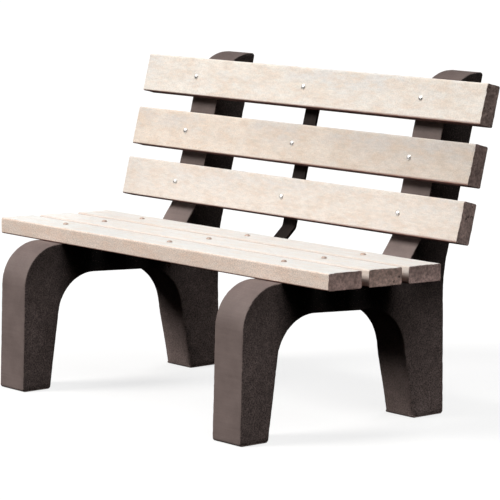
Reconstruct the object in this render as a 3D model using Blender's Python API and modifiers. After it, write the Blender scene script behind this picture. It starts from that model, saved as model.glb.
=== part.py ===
"""Park bench with a backrest, as an assembly of separate pieces.

Six slats of plastic lumber, three for the seat and three for the back, are bolted to two moulded
end frames and, at mid-length, to a bent flat-steel brace. Every bolt is a carriage bolt with its own
flange nut.

Metres, +Z up. X runs along the slats, -Y is the front of the seat, and the origin is on the ground
under the middle of the bench.
"""

import math

import bmesh
import bpy
from mathutils import Vector

# ---------------------------------------------------------------- driving dimensions

GAP = 0.0003  # air between pieces that touch on the real bench
CHORD_ERROR = 0.0003  # how far a faceted arc may lie inside its true circle

# Slats: 2 by 4 lumber, moulded a little over its nominal width, 48 inches long.
SLAT_LENGTH = 1.219
SLAT_WIDTH = 0.0925
SLAT_THICKNESS = 0.038
SLAT_EDGE_RADIUS = 0.004

# End frames: one outline in the YZ plane, extruded along X.
FRAME_THICKNESS = 0.096
FRAME_CENTRES = 0.813
FRAME_ARRIS = 0.002
HEIGHT = 0.759
FRONT_Y = -0.3487
REAR_LEG_Y = 0.2323

SEAT_TILT = math.radians(1.5)  # falls towards the back
SEAT_FRONT = (-0.2347, 0.34006)  # where the front slat's lower front edge rests
BEAM_DEPTH_FRONT = 0.0690  # at the corners where the arch's sides meet its top
BEAM_DEPTH_REAR = 0.0780
SEAT_PITCH = 0.1123

BACK_LEAN = math.radians(15.0)
POST_REFERENCE = (0.2172, 0.600)  # a point on the face that the back slats lie on
POST_DEPTH = 0.0880
BACK_SLAT_FEET = {"bottom": 0.4003, "middle": 0.5224, "top": 0.6518}  # heights on the post's face

FRONT_LEG_SLOPE = 0.039  # the leg's front comes forward towards the foot
ARCH_FRONT_FOOT_Y = -0.2715
ARCH_FRONT_SLOPE = 0.152
ARCH_REAR_FOOT_Y = 0.1415
ARCH_REAR_SLOPE = 0.146

# The gusset between the post and the seat beam: a straight slope from the post's face to the seat.
GUSSET_TOP_Z = 0.3988
GUSSET_FOOT_Y = 0.113

KNEE_RADIUS = 0.098
ARCH_FRONT_RADIUS = 0.100
ARCH_REAR_RADIUS = 0.110
GUSSET_RADIUS = 0.010
TOP_FRONT_RADIUS = 0.095
TOP_REAR_RADIUS = 0.007
HIP_RADIUS = 0.350
FOOT_RADIUS = 0.007

# Centre brace: 1-3/4 by 1/4 inch flat steel bar.
BRACE_WIDTH = 0.0445
BRACE_THICKNESS = 0.00635
BRACE_TOP_Z = 0.714
BRACE_UPPER_BEND_Z = 0.383
BRACE_LOWER_BEND_Y = 0.101
BRACE_FRONT_Y = -0.210
BRACE_BEND_RADIUS = 0.012

# Fasteners: 1/4 inch carriage bolts and flange nuts.
HEAD_RADIUS = 0.0064
HEAD_HEIGHT = 0.0040
SHANK_RADIUS = 0.0031
NECK_SIDE = 0.0067
NECK_DEPTH = 0.0042
HOLE_RADIUS = 0.0035
FRAME_GRIP = 0.062  # frame material between a slat and the nut
FRAME_BOLT_LENGTH = 0.110
BRACE_BOLT_LENGTH = 0.057
RECESS_RADIUS = 0.010
RECESS_LENGTH = 0.045
NUT_ACROSS_FLATS = 0.0111
NUT_HEIGHT = 0.0070
NUT_FLANGE_RADIUS = 0.0072
NUT_FLANGE_HEIGHT = 0.0016

ROUND_STEPS = 16
OVERRUN = 0.001  # how far a cutter runs past the material it opens

# ---------------------------------------------------------------- scene and helpers


def clear_scene():
    for obj in list(bpy.data.objects):
        bpy.data.objects.remove(obj, do_unlink=True)


def add_collection(name, parent=None):
    collection = bpy.data.collections.new(name)
    (parent or bpy.context.scene.collection).children.link(collection)
    return collection


def add_material(name, colour, roughness, metallic=0.0):
    material = bpy.data.materials.new(name)
    material.use_nodes = True
    shader = material.node_tree.nodes["Principled BSDF"]
    shader.inputs["Base Color"].default_value = (*colour, 1.0)
    shader.inputs["Roughness"].default_value = roughness
    shader.inputs["Metallic"].default_value = metallic
    material.diffuse_color = (*colour, 1.0)
    return material


def add_object(name, mesh, collection, material=None):
    obj = bpy.data.objects.new(name, mesh)
    collection.objects.link(obj)
    if material and not mesh.materials:
        mesh.materials.append(material)
    return obj


def add_cutter(name, mesh, collection):
    obj = add_object(name, mesh, collection)
    obj.hide_render = True
    obj.display_type = "WIRE"
    return obj


def evaluated_mesh(obj):
    """The object's mesh with its modifiers applied; the object itself is removed."""
    graph = bpy.context.evaluated_depsgraph_get()
    mesh = bpy.data.meshes.new_from_object(obj.evaluated_get(graph))
    mesh.name = obj.name
    bpy.data.objects.remove(obj, do_unlink=True)
    return mesh


def mesh_from_bmesh(name, bm):
    mesh = bpy.data.meshes.new(name)
    bm.to_mesh(mesh)
    bm.free()
    return mesh


def combined(name, mesh, other, operation):
    """One mesh from two that overlap, by a Boolean of the given operation."""
    scene = bpy.context.scene.collection
    body = add_object(name, mesh, scene)
    tool = add_object(name + "_tool", other, scene)
    modifier = body.modifiers.new("Boolean", "BOOLEAN")
    modifier.operation = operation
    modifier.object = tool
    result = evaluated_mesh(body)
    bpy.data.objects.remove(tool, do_unlink=True)
    return result


def box_mesh(name, size, centre=(0.0, 0.0, 0.0)):
    bm = bmesh.new()
    bmesh.ops.create_cube(bm, size=1.0)
    bmesh.ops.scale(bm, vec=size, verts=bm.verts)
    bmesh.ops.translate(bm, vec=centre, verts=bm.verts)
    return mesh_from_bmesh(name, bm)


def prism_mesh(name, radius, top, bottom, sides):
    """An upright prism between two heights, its corners on the radius."""
    bm = bmesh.new()
    bmesh.ops.create_cone(
        bm, cap_ends=True, segments=sides, radius1=radius, radius2=radius, depth=top - bottom
    )
    bmesh.ops.translate(bm, vec=(0.0, 0.0, (top + bottom) / 2), verts=bm.verts)
    return mesh_from_bmesh(name, bm)


def turned_mesh(name, profile):
    """A profile of (radius, height) points, top to bottom, turned about Z."""
    mesh = bpy.data.meshes.new(name)
    points = [(radius, 0.0, height) for radius, height in profile]
    mesh.from_pydata(points, [(i, i + 1) for i in range(len(points) - 1)], [])
    obj = add_object(name, mesh, bpy.context.scene.collection)
    screw = obj.modifiers.new("Screw", "SCREW")
    screw.steps = screw.render_steps = ROUND_STEPS
    screw.use_merge_vertices = True
    screw.merge_threshold = 0.00001
    return evaluated_mesh(obj)


def filleted(corners):
    """A closed outline from (y, z, radius) corners, each rounded by a tangent arc."""
    outline = []
    for index, (y, z, radius) in enumerate(corners):
        corner = Vector((y, z))
        before = (Vector(corners[index - 1][:2]) - corner).normalized()
        after = (Vector(corners[(index + 1) % len(corners)][:2]) - corner).normalized()
        if radius == 0.0:
            outline.append(corner)
            continue
        half_angle = before.angle(after) / 2
        turn = math.pi - 2 * half_angle
        steps = max(2, math.ceil(turn / (2 * math.acos(1 - CHORD_ERROR / radius))))
        centre = corner + (before + after).normalized() * radius / math.sin(half_angle)
        start = corner + before * radius / math.tan(half_angle) - centre
        end = corner + after * radius / math.tan(half_angle) - centre
        for step in range(steps + 1):
            share = step / steps
            weights = math.sin((1 - share) * turn), math.sin(share * turn)
            outline.append(centre + (start * weights[0] + end * weights[1]) / math.sin(turn))
    return outline


def plate_mesh(name, outline, thickness):
    """A YZ outline as a plate of this thickness, centred on X = 0."""
    curve = bpy.data.curves.new(name, "CURVE")
    curve.dimensions = "2D"
    curve.fill_mode = "BOTH"
    curve.extrude = thickness / 2
    spline = curve.splines.new("POLY")
    spline.points.add(len(outline) - 1)
    for point, (y, z) in zip(spline.points, outline):
        point.co = (y, z, 0.0, 1.0)
    spline.use_cyclic_u = True
    obj = bpy.data.objects.new(name, curve)
    bpy.context.scene.collection.objects.link(obj)
    mesh = evaluated_mesh(obj)
    bm = bmesh.new()
    bm.from_mesh(mesh)
    bmesh.ops.remove_doubles(bm, verts=bm.verts, dist=0.00001)
    bmesh.ops.recalc_face_normals(bm, faces=bm.faces)
    for vert in bm.verts:
        vert.co = vert.co.zxy
    bm.to_mesh(mesh)
    bm.free()
    return mesh


# ---------------------------------------------------------------- the planes that slats rest on


def seat_z(y):
    """Height of the frame's seat surface."""
    return SEAT_FRONT[1] - math.tan(SEAT_TILT) * (y - SEAT_FRONT[0])


def post_y(z):
    """Depth position of the post's slat face."""
    return POST_REFERENCE[0] + math.tan(BACK_LEAN) * (z - POST_REFERENCE[1])


BACK_UP = Vector((0.0, math.sin(BACK_LEAN), math.cos(BACK_LEAN)))
BACK_NORMAL = Vector((0.0, -math.cos(BACK_LEAN), math.sin(BACK_LEAN)))
SEAT_REARWARD = Vector((0.0, math.cos(SEAT_TILT), -math.sin(SEAT_TILT)))
SEAT_NORMAL = Vector((0.0, math.sin(SEAT_TILT), math.cos(SEAT_TILT)))


# ---------------------------------------------------------------- end frames


def meets_seat(foot_y, slope, drop=0.0):
    """Where the line y = foot_y + slope * z meets the seat surface, lowered by drop."""
    fall = math.tan(SEAT_TILT)
    z = (seat_z(foot_y) - drop) / (1 + fall * slope)
    return foot_y + slope * z, z


def frame_outline():
    lean = math.tan(BACK_LEAN)
    post_depth_y = POST_DEPTH / math.cos(BACK_LEAN)
    hip_z = (REAR_LEG_Y - post_depth_y - post_y(0.0)) / lean
    return filleted(
        [
            (FRONT_Y, 0.0, FOOT_RADIUS),
            (*meets_seat(FRONT_Y, FRONT_LEG_SLOPE), KNEE_RADIUS),
            (GUSSET_FOOT_Y, seat_z(GUSSET_FOOT_Y), GUSSET_RADIUS),
            (post_y(GUSSET_TOP_Z), GUSSET_TOP_Z, GUSSET_RADIUS),
            (post_y(HEIGHT), HEIGHT, TOP_FRONT_RADIUS),
            (post_y(HEIGHT) + post_depth_y, HEIGHT, TOP_REAR_RADIUS),
            (REAR_LEG_Y, hip_z, HIP_RADIUS),
            (REAR_LEG_Y, 0.0, FOOT_RADIUS),
            (ARCH_REAR_FOOT_Y, 0.0, FOOT_RADIUS),
            (*meets_seat(ARCH_REAR_FOOT_Y, -ARCH_REAR_SLOPE, BEAM_DEPTH_REAR), ARCH_REAR_RADIUS),
            (*meets_seat(ARCH_FRONT_FOOT_Y, ARCH_FRONT_SLOPE, BEAM_DEPTH_FRONT), ARCH_FRONT_RADIUS),
            (ARCH_FRONT_FOOT_Y, 0.0, FOOT_RADIUS),
        ]
    )


def add_end_frames(collection, material):
    mesh = plate_mesh("end_frame", frame_outline(), FRAME_THICKNESS)
    frames = {}
    for side, sign in (("left", -1), ("right", 1)):
        frame = add_object(f"end_frame_{side}", mesh, collection, material)
        frame.location.x = sign * FRAME_CENTRES / 2
        bevel = frame.modifiers.new("Arris", "BEVEL")
        bevel.width = FRAME_ARRIS
        bevel.segments = 1
        bevel.limit_method = "ANGLE"
        bevel.angle_limit = math.radians(50)
        frames[side] = frame
    return frames


# ---------------------------------------------------------------- centre brace


def brace_outline():
    """The bar follows the back slats' rear face, then bends forward under the seat slats."""
    face = [
        (post_y(BRACE_TOP_Z), BRACE_TOP_Z),
        (post_y(BRACE_UPPER_BEND_Z), BRACE_UPPER_BEND_Z),
        (BRACE_LOWER_BEND_Y, seat_z(BRACE_LOWER_BEND_Y)),
        (BRACE_FRONT_Y, seat_z(BRACE_FRONT_Y)),
    ]
    legs = [(Vector(b) - Vector(a)).normalized() for a, b in zip(face, face[1:])]
    outward = [Vector((-leg.y, leg.x)) for leg in legs]
    far_side = [Vector(face[0]) + outward[0] * BRACE_THICKNESS]
    for corner, one, two in zip(face[1:3], outward, outward[1:]):
        mitre = (one + two).normalized()
        far_side.append(Vector(corner) + mitre * BRACE_THICKNESS / mitre.dot(one))
    far_side.append(Vector(face[3]) + outward[2] * BRACE_THICKNESS)
    radii = (0.0, BRACE_BEND_RADIUS, BRACE_BEND_RADIUS, 0.0)
    outer = (0.0, BRACE_BEND_RADIUS + BRACE_THICKNESS, BRACE_BEND_RADIUS + BRACE_THICKNESS, 0.0)
    corners = [(*point, radius) for point, radius in zip(face, radii)]
    corners += [(*point, radius) for point, radius in zip(reversed(far_side), outer)]
    return filleted(corners)


def add_brace(collection, material):
    mesh = plate_mesh("centre_brace", brace_outline(), BRACE_WIDTH)
    return add_object("centre_brace", mesh, collection, material)


# ---------------------------------------------------------------- slats

BOLT_COLUMNS = {"left": -FRAME_CENTRES / 2, "centre": 0.0, "right": FRAME_CENTRES / 2}


def slat_mesh():
    """A slat along X, its width along Z and its show face towards -Y, drilled for three bolts."""
    bm = bmesh.new()
    bmesh.ops.create_cube(bm, size=1.0)
    bmesh.ops.scale(bm, vec=(SLAT_LENGTH, SLAT_THICKNESS, SLAT_WIDTH), verts=bm.verts)
    long_edges = [e for e in bm.edges if abs((e.verts[0].co - e.verts[1].co).x) > SLAT_LENGTH / 2]
    bmesh.ops.bevel(
        bm, geom=long_edges, offset=SLAT_EDGE_RADIUS, segments=3, profile=0.5, affect="EDGES"
    )
    mesh = mesh_from_bmesh("slat", bm)
    for x in BOLT_COLUMNS.values():
        half = SLAT_THICKNESS / 2
        hole = prism_mesh("hole", HOLE_RADIUS, half + OVERRUN, -half - OVERRUN, ROUND_STEPS)
        side = NECK_SIDE + 2 * GAP
        height = NECK_DEPTH + 2 * OVERRUN
        pocket = box_mesh("pocket", (side, side, height), (0.0, 0.0, half + OVERRUN - height / 2))
        tool = combined("bolt_hole", hole, pocket, "UNION")
        for vert in tool.vertices:
            vert.co = (vert.co.x + x, -vert.co.z, vert.co.y)
        mesh = combined("slat", mesh, tool, "DIFFERENCE")
    return mesh


def add_slats(collection, material):
    mesh = slat_mesh()
    slats = {}
    for row, foot_z in BACK_SLAT_FEET.items():
        slat = add_object(f"back_slat_{row}", mesh, collection, material)
        foot = Vector((0.0, post_y(foot_z), foot_z))
        slat.location = foot + BACK_UP * SLAT_WIDTH / 2 + BACK_NORMAL * (GAP + SLAT_THICKNESS / 2)
        slat.rotation_euler.x = -BACK_LEAN
        slats["back", row] = slat
    for index, row in enumerate(("front", "middle", "rear")):
        slat = add_object(f"seat_slat_{row}", mesh, collection, material)
        edge = Vector((0.0, *SEAT_FRONT)) + SEAT_REARWARD * index * SEAT_PITCH
        slat.location = edge + SEAT_REARWARD * SLAT_WIDTH / 2 + SEAT_NORMAL * (GAP + SLAT_THICKNESS / 2)
        slat.rotation_euler.x = -math.pi / 2 - SEAT_TILT
        slats["seat", row] = slat
    return slats


# ---------------------------------------------------------------- bolts and nuts


def bolt_mesh(length):
    """A domed head standing on z = 0, a square neck under it and a plain shank with a short chamfer."""
    dome_steps = 4
    profile = [
        (HEAD_RADIUS * math.sin(angle), HEAD_HEIGHT * math.cos(angle) + GAP)
        for angle in (step * math.pi / 2 / dome_steps for step in range(dome_steps + 1))
    ]
    chamfer = SHANK_RADIUS * 0.3
    profile += [
        (SHANK_RADIUS, GAP),
        (SHANK_RADIUS, -length + chamfer),
        (SHANK_RADIUS - chamfer, -length),
        (0.0, -length),
    ]
    turned = turned_mesh("carriage_bolt", profile)
    overlap = HEAD_HEIGHT / 4
    neck_centre = (0.0, 0.0, (overlap - NECK_DEPTH) / 2)
    neck = box_mesh("neck", (NECK_SIDE, NECK_SIDE, NECK_DEPTH + overlap), neck_centre)
    mesh = combined("carriage_bolt", turned, neck, "UNION")
    mesh.shade_smooth()
    mesh.set_sharp_from_angle(angle=math.radians(35))
    return mesh


def nut_mesh():
    """A flange nut whose flange bears on z = 0 and whose hexagon stands below it."""
    corner_radius = NUT_ACROSS_FLATS / math.sqrt(3)
    flange = prism_mesh("flange", NUT_FLANGE_RADIUS, 0.0, -NUT_FLANGE_HEIGHT, ROUND_STEPS)
    hexagon = prism_mesh("hexagon", corner_radius, -NUT_FLANGE_HEIGHT / 2, -NUT_HEIGHT, 6)
    body = combined("flange_nut", flange, hexagon, "UNION")
    bore = prism_mesh("bore", SHANK_RADIUS + GAP, OVERRUN, -NUT_HEIGHT - OVERRUN, ROUND_STEPS)
    return combined("flange_nut", body, bore, "DIFFERENCE")


def frame_hole_mesh():
    """A bolt hole through the frame that opens into a round recess for the nut."""
    start = -SLAT_THICKNESS + OVERRUN
    shoulder = -SLAT_THICKNESS - GAP - FRAME_GRIP
    end = shoulder - RECESS_LENGTH
    profile = [
        (0.0, start),
        (HOLE_RADIUS, start),
        (HOLE_RADIUS, shoulder),
        (RECESS_RADIUS, shoulder),
        (RECESS_RADIUS, end),
        (0.0, end),
    ]
    return turned_mesh("frame_hole", profile)


def brace_hole_mesh():
    start = -SLAT_THICKNESS + OVERRUN
    end = -SLAT_THICKNESS - GAP - BRACE_THICKNESS - OVERRUN
    return prism_mesh("brace_hole", HOLE_RADIUS, start, end, ROUND_STEPS)


def attach(obj, slat, x, depth=0.0):
    """Places a piece on a slat's bolt axis, its +Z out of the show face, sunk by depth."""
    obj.parent = slat
    obj.location = (x, depth - SLAT_THICKNESS / 2, 0.0)
    obj.rotation_euler.x = math.pi / 2


def add_fasteners(slats, supports, collection, cutters, material):
    frame_bolt = bolt_mesh(FRAME_BOLT_LENGTH)
    brace_bolt = bolt_mesh(BRACE_BOLT_LENGTH)
    nut = nut_mesh()
    frame_hole = frame_hole_mesh()
    brace_hole = brace_hole_mesh()
    for column, support in supports.items():
        on_brace = column == "centre"
        x = BOLT_COLUMNS[column]
        grip = BRACE_THICKNESS if on_brace else FRAME_GRIP
        holes = add_collection(f"holes_{column}", cutters)
        for (part, row), slat in slats.items():
            place = f"{row}_{column}"
            bolt_data = brace_bolt if on_brace else frame_bolt
            attach(add_object(f"{part}_bolt_{place}", bolt_data, collection, material), slat, x)
            nut_depth = SLAT_THICKNESS + GAP + grip + GAP
            attach(add_object(f"{part}_nut_{place}", nut, collection, material), slat, x, nut_depth)
            hole_data = brace_hole if on_brace else frame_hole
            attach(add_cutter(f"{part}_hole_{place}", hole_data, holes), slat, x)
        drill = support.modifiers.new("Bolt holes", "BOOLEAN")
        drill.operation = "DIFFERENCE"
        drill.operand_type = "COLLECTION"
        drill.collection = holes


# ---------------------------------------------------------------- assembly


def main():
    clear_scene()
    bench = add_collection("park_bench")
    cutters = add_collection("cutters")
    slat_plastic = add_material("slat_plastic", (0.76, 0.66, 0.56), 0.60)
    frame_plastic = add_material("frame_plastic", (0.115, 0.085, 0.078), 0.62)
    brace_steel = add_material("brace_steel", (0.035, 0.028, 0.026), 0.50, 0.4)
    bolt_steel = add_material("bolt_steel", (0.62, 0.62, 0.60), 0.30, 1.0)

    frames = add_end_frames(bench, frame_plastic)
    brace = add_brace(bench, brace_steel)
    slats = add_slats(bench, slat_plastic)
    supports = {"left": frames["left"], "centre": brace, "right": frames["right"]}
    add_fasteners(slats, supports, bench, cutters, bolt_steel)


main()
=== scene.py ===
"""The looks of the park bench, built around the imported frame.

Every piece of the frame is replaced by a finer mesh on the same driving dimensions, in metres: slats of
recycled-plastic lumber, moulded end frames, a painted flat-steel brace, carriage bolts and flange nuts.
"""

import math

import bmesh
import bpy
from mathutils import Matrix, Vector, noise


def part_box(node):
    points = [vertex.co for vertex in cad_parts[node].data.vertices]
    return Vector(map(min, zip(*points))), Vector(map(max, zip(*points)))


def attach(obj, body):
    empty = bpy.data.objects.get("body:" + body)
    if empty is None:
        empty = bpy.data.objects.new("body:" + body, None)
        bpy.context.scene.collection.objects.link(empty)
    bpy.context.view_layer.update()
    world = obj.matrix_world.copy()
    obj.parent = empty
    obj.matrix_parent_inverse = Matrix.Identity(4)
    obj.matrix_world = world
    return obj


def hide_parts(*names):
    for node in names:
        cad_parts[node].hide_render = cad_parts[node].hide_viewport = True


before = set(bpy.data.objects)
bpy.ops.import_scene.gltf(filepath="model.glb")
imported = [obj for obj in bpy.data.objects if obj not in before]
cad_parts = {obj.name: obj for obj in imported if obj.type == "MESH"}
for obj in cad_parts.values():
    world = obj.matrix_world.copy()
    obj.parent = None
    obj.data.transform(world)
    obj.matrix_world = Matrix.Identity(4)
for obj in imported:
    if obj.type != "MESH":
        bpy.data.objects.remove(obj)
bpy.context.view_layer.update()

MM = 0.001

# ---------------------------------------------------------------- camera and light

VIEW_AZIMUTH = 51.35  # degrees from the front towards +X
VIEW_ELEVATION = 7.97
VIEW_ROLL = -0.29
VIEW_DISTANCE = 6.588
VIEW_TARGET = Vector((0.0544, 0.0011, 0.3479))
SENSOR = 36.0
LENS = 207.9
CLIP_END = 200.0

# Distant lamps: azimuth from the front towards +X, elevation and spread in degrees, the brightness of a
# white surface facing the lamp, and the lamp's colour.
LAMPS = {
    "key": (-30.0, 37.0, 23.0, 1.05, (1.0, 0.97, 0.935)),
    "fill": (80.0, 55.0, 40.0, 0.36, (1.0, 0.99, 0.98)),
    "top": (0.0, 88.0, 60.0, 0.20, (0.97, 0.985, 1.0)),
    "back": (205.0, 24.0, 30.0, 0.40, (1.0, 1.0, 1.0)),
}
SKY_COLOUR = (0.02, 0.02, 0.02)
GROUND_COLOUR = (0.002, 0.0015, 0.001)
BACKDROP_COLOUR = (1.0, 1.0, 1.0)
FLOOR_COLOUR = (0.24, 0.24, 0.24)
FLOOR_GLOW = 0.76
FLOOR_HALF_SIZE = 60.0

# ---------------------------------------------------------------- driving dimensions

GAP = 0.3 * MM

SLAT_LENGTH = 1219 * MM
SLAT_WIDTH = 92.5 * MM
SLAT_THICKNESS = 38 * MM
SLAT_EDGE_RADIUS = 4 * MM
SLAT_END_CHAMFER = 0.8 * MM

FRAME_THICKNESS = 96 * MM
FRAME_ARRIS = 2 * MM
HEIGHT = 759 * MM
FRONT_Y = -348.7 * MM
REAR_LEG_Y = 232.3 * MM
SEAT_TILT = math.radians(1.5)
SEAT_FRONT = (-234.7 * MM, 340.06 * MM)
BEAM_DEPTH_FRONT = 69 * MM
BEAM_DEPTH_REAR = 78 * MM
BACK_LEAN = math.radians(15)
POST_REFERENCE = (217.2 * MM, 600 * MM)
POST_DEPTH = 88 * MM
FRONT_LEG_SLOPE = 0.039
ARCH_FRONT_FOOT_Y = -271.5 * MM
ARCH_FRONT_SLOPE = 0.152
ARCH_REAR_FOOT_Y = 141.5 * MM
ARCH_REAR_SLOPE = 0.146
KNEE_RADIUS = 98 * MM
ARCH_FRONT_RADIUS = 100 * MM
ARCH_REAR_RADIUS = 110 * MM
GUSSET_TOP_Z = 398.8 * MM
GUSSET_FOOT_Y = 113 * MM
GUSSET_RADIUS = 10 * MM
TOP_FRONT_RADIUS = 95 * MM
TOP_REAR_RADIUS = 7 * MM
HIP_RADIUS = 350 * MM
FOOT_RADIUS = 7 * MM
FOOT_TURN = 7.0  # twice how far the feet's sides are worn in at the ground, in millimetres
FOOT_TURN_HEIGHT = 9 * MM
REAR_FOOT_WEAR = 16 * MM  # radius worn onto the rear feet's inner front edges, fading out up the leg
REAR_FOOT_WEAR_TOP = 170 * MM

BRACE_WIDTH = 44.5 * MM
BRACE_THICKNESS = 6.35 * MM
BRACE_TOP_Z = 714 * MM
BRACE_UPPER_BEND_Z = 383 * MM
BRACE_LOWER_BEND_Y = 101 * MM
BRACE_FRONT_Y = -210 * MM
BRACE_BEND_RADIUS = 12 * MM
BRACE_ARRIS = 0.7 * MM

HEAD_RADIUS = 6.4 * MM
HEAD_HEIGHT = 4.0 * MM
HEAD_RIM = 0.5 * MM
SHANK_RADIUS = 3.1 * MM
THREAD_DEPTH = 0.55 * MM
THREAD_PITCH = 1.27 * MM
THREAD_LENGTH = 22 * MM
NECK_SIDE = 6.7 * MM
NECK_DEPTH = 4.2 * MM
HOLE_RADIUS = 3.5 * MM
FRAME_GRIP = 62 * MM
FRAME_BOLT_LENGTH = 110 * MM
BRACE_BOLT_LENGTH = 57 * MM
RECESS_RADIUS = 10 * MM
RECESS_LENGTH = 45 * MM
NUT_ACROSS_FLATS = 11.1 * MM
NUT_HEIGHT = 7.0 * MM
NUT_FLANGE_RADIUS = 7.2 * MM
NUT_FLANGE_HEIGHT = 1.6 * MM

RIM_CHAMFER = 0.1 * MM
NECK_TAPER = 0.4 * MM
TIP_LENGTH = 1 * MM
TIP_CHAMFER = 0.9 * MM
BORE_CHAMFER = 0.5 * MM
POCKET_GAP = 0.39 * MM

ARC_ERROR = 0.02 * MM  # how far a faceted arc may lie inside its true circle
WELD_DISTANCE = 0.01 * MM
FLAT_ANGLE = math.radians(0.1)  # below which two faces count as one
ARRIS_ANGLE = math.radians(50)
SMOOTH_ANGLE = 35  # degrees, above which an edge stays sharp
BOLT_SMOOTH_ANGLE = 40
NUT_SMOOTH_ANGLE = 30
FRAME_CELL = 8 * MM
BRACE_CELL = 6 * MM
SLAT_CELL = 1.9 * MM
SLAT_STATION = 9 * MM
SLAT_CORNER_STEPS = 4
FRAME_ARRIS_STEPS = 3
BRACE_ARRIS_STEPS = 2
ROUND_STEPS = 48
NUT_STEPS = 72
DOME_STEPS = 12
THREAD_STEPS = 6  # rings in a turn of the thread
NUT_TURN = math.radians(23)  # between one nut and the next, so that their flats don't line up
OVERRUN = 1 * MM

# ---------------------------------------------------------------- skins

END_FACING = 0.9  # |normal.x| from which a slat's face counts as its sawn end
SIDE_FACING = 0.5  # normal.x squared from which a face counts as a side of a frame or the brace
# Waves on the skins of slats, frames and brace: (height in millimetres, size in metres).
SLAT_WAVES = (0.30, 70 * MM)
SLAT_RIPPLE = (0.08, 14 * MM)
SLAT_STRETCH = 0.4  # less than 1 makes both longer along the slat
SAWN_WAVES = (0.75, 15 * MM)
SAWN_LENGTH = 24 * MM  # from an end, over which the skin grows rough
CUT_WAVES = (0.22, 9 * MM)
CUT_RIPPLE = (0.16, 4 * MM)
PIT_SIZE = 5.5 * MM
PIT_LEVELS = (0.42, 0.62)  # of the wave, where pits begin and are deepest
PIT_DEPTH = 0.9
TRUE_AT_BOLTS = (9 * MM, 30 * MM)  # a slat is true up to the first distance from a bolt
FRAME_WAVES = (0.35, 110 * MM)
FRAME_RIPPLE = (0.10, 28 * MM)
NIBBLES = (1.6, 9 * MM)
TRUE_AT_GROUND = (1 * MM, 12 * MM)
BEARING_DEPTH = 4 * MM  # of a frame's skin that stays true under the slats
BRACE_WAVES = (0.06, 30 * MM)
BRACE_CLEARANCE = 10 * MM
BRACE_SEED = 40


def middle(node):
    low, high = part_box(node)
    return (low + high) / 2


FRAME_X = middle("end_frame_right").x
BOLT_COLUMNS = {"left": -FRAME_X, "centre": 0.0, "right": FRAME_X}

# ---------------------------------------------------------------- mesh helpers


def mesh_from_bmesh(name, bm):
    mesh = bpy.data.meshes.new(name)
    bm.to_mesh(mesh)
    bm.free()
    return mesh


def linked(name, mesh):
    obj = bpy.data.objects.new(name, mesh)
    bpy.context.scene.collection.objects.link(obj)
    return obj


def evaluated_mesh(obj):
    graph = bpy.context.evaluated_depsgraph_get()
    mesh = bpy.data.meshes.new_from_object(obj.evaluated_get(graph))
    bpy.data.objects.remove(obj, do_unlink=True)
    return mesh


def combined(mesh, other, operation):
    body, tool = linked("body", mesh), linked("tool", other)
    modifier = body.modifiers.new("Boolean", "BOOLEAN")
    modifier.operation = operation
    modifier.object = tool
    result = evaluated_mesh(body)
    bpy.data.objects.remove(tool, do_unlink=True)
    return result


def joined(meshes):
    bm = bmesh.new()
    for mesh in meshes:
        bm.from_mesh(mesh)
    return mesh_from_bmesh("joined", bm)


def smooth(mesh, degrees=SMOOTH_ANGLE):
    mesh.shade_smooth()
    mesh.set_sharp_from_angle(angle=math.radians(degrees))
    return mesh


def rings_mesh(name, rings, closed=False, steps=ROUND_STEPS):
    """A mesh turned about Z from rings of (radius, height). A radius may be a function of the angle and
    so may a height. A ring of radius 0 is a pole. A closed list of rings makes a tube."""
    bm = bmesh.new()
    rows = []
    for radius, height in rings:
        if radius == 0:
            rows.append([bm.verts.new((0.0, 0.0, height))] * steps)
            continue
        row = []
        for step in range(steps):
            angle = 2 * math.pi * step / steps
            r = radius(angle) if callable(radius) else radius
            z = height(angle) if callable(height) else height
            row.append(bm.verts.new((r * math.cos(angle), r * math.sin(angle), z)))
        rows.append(row)
    pairs = list(zip(rows, rows[1:])) + ([(rows[-1], rows[0])] if closed else [])
    for upper, lower in pairs:
        for step in range(steps):
            following = (step + 1) % steps
            corners = [upper[step], lower[step], lower[following], upper[following]]
            corners = [c for i, c in enumerate(corners) if c not in corners[:i]]
            bm.faces.new(corners)
    bmesh.ops.recalc_face_normals(bm, faces=bm.faces)
    return mesh_from_bmesh(name, bm)


def filleted(corners):
    """A closed outline from (y, z, radius) corners, each rounded by a tangent arc."""
    outline = []
    for index, (y, z, radius) in enumerate(corners):
        corner = Vector((y, z))
        before = (Vector(corners[index - 1][:2]) - corner).normalized()
        after = (Vector(corners[(index + 1) % len(corners)][:2]) - corner).normalized()
        if radius == 0.0:
            outline.append(corner)
            continue
        half_angle = before.angle(after) / 2
        turn = math.pi - 2 * half_angle
        steps = max(3, math.ceil(turn / (2 * math.acos(1 - ARC_ERROR / radius))))
        centre = corner + (before + after).normalized() * radius / math.sin(half_angle)
        start = corner + before * radius / math.tan(half_angle) - centre
        end = corner + after * radius / math.tan(half_angle) - centre
        for step in range(steps + 1):
            share = step / steps
            weights = math.sin((1 - share) * turn), math.sin(share * turn)
            outline.append(centre + (start * weights[0] + end * weights[1]) / math.sin(turn))
    return outline


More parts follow.
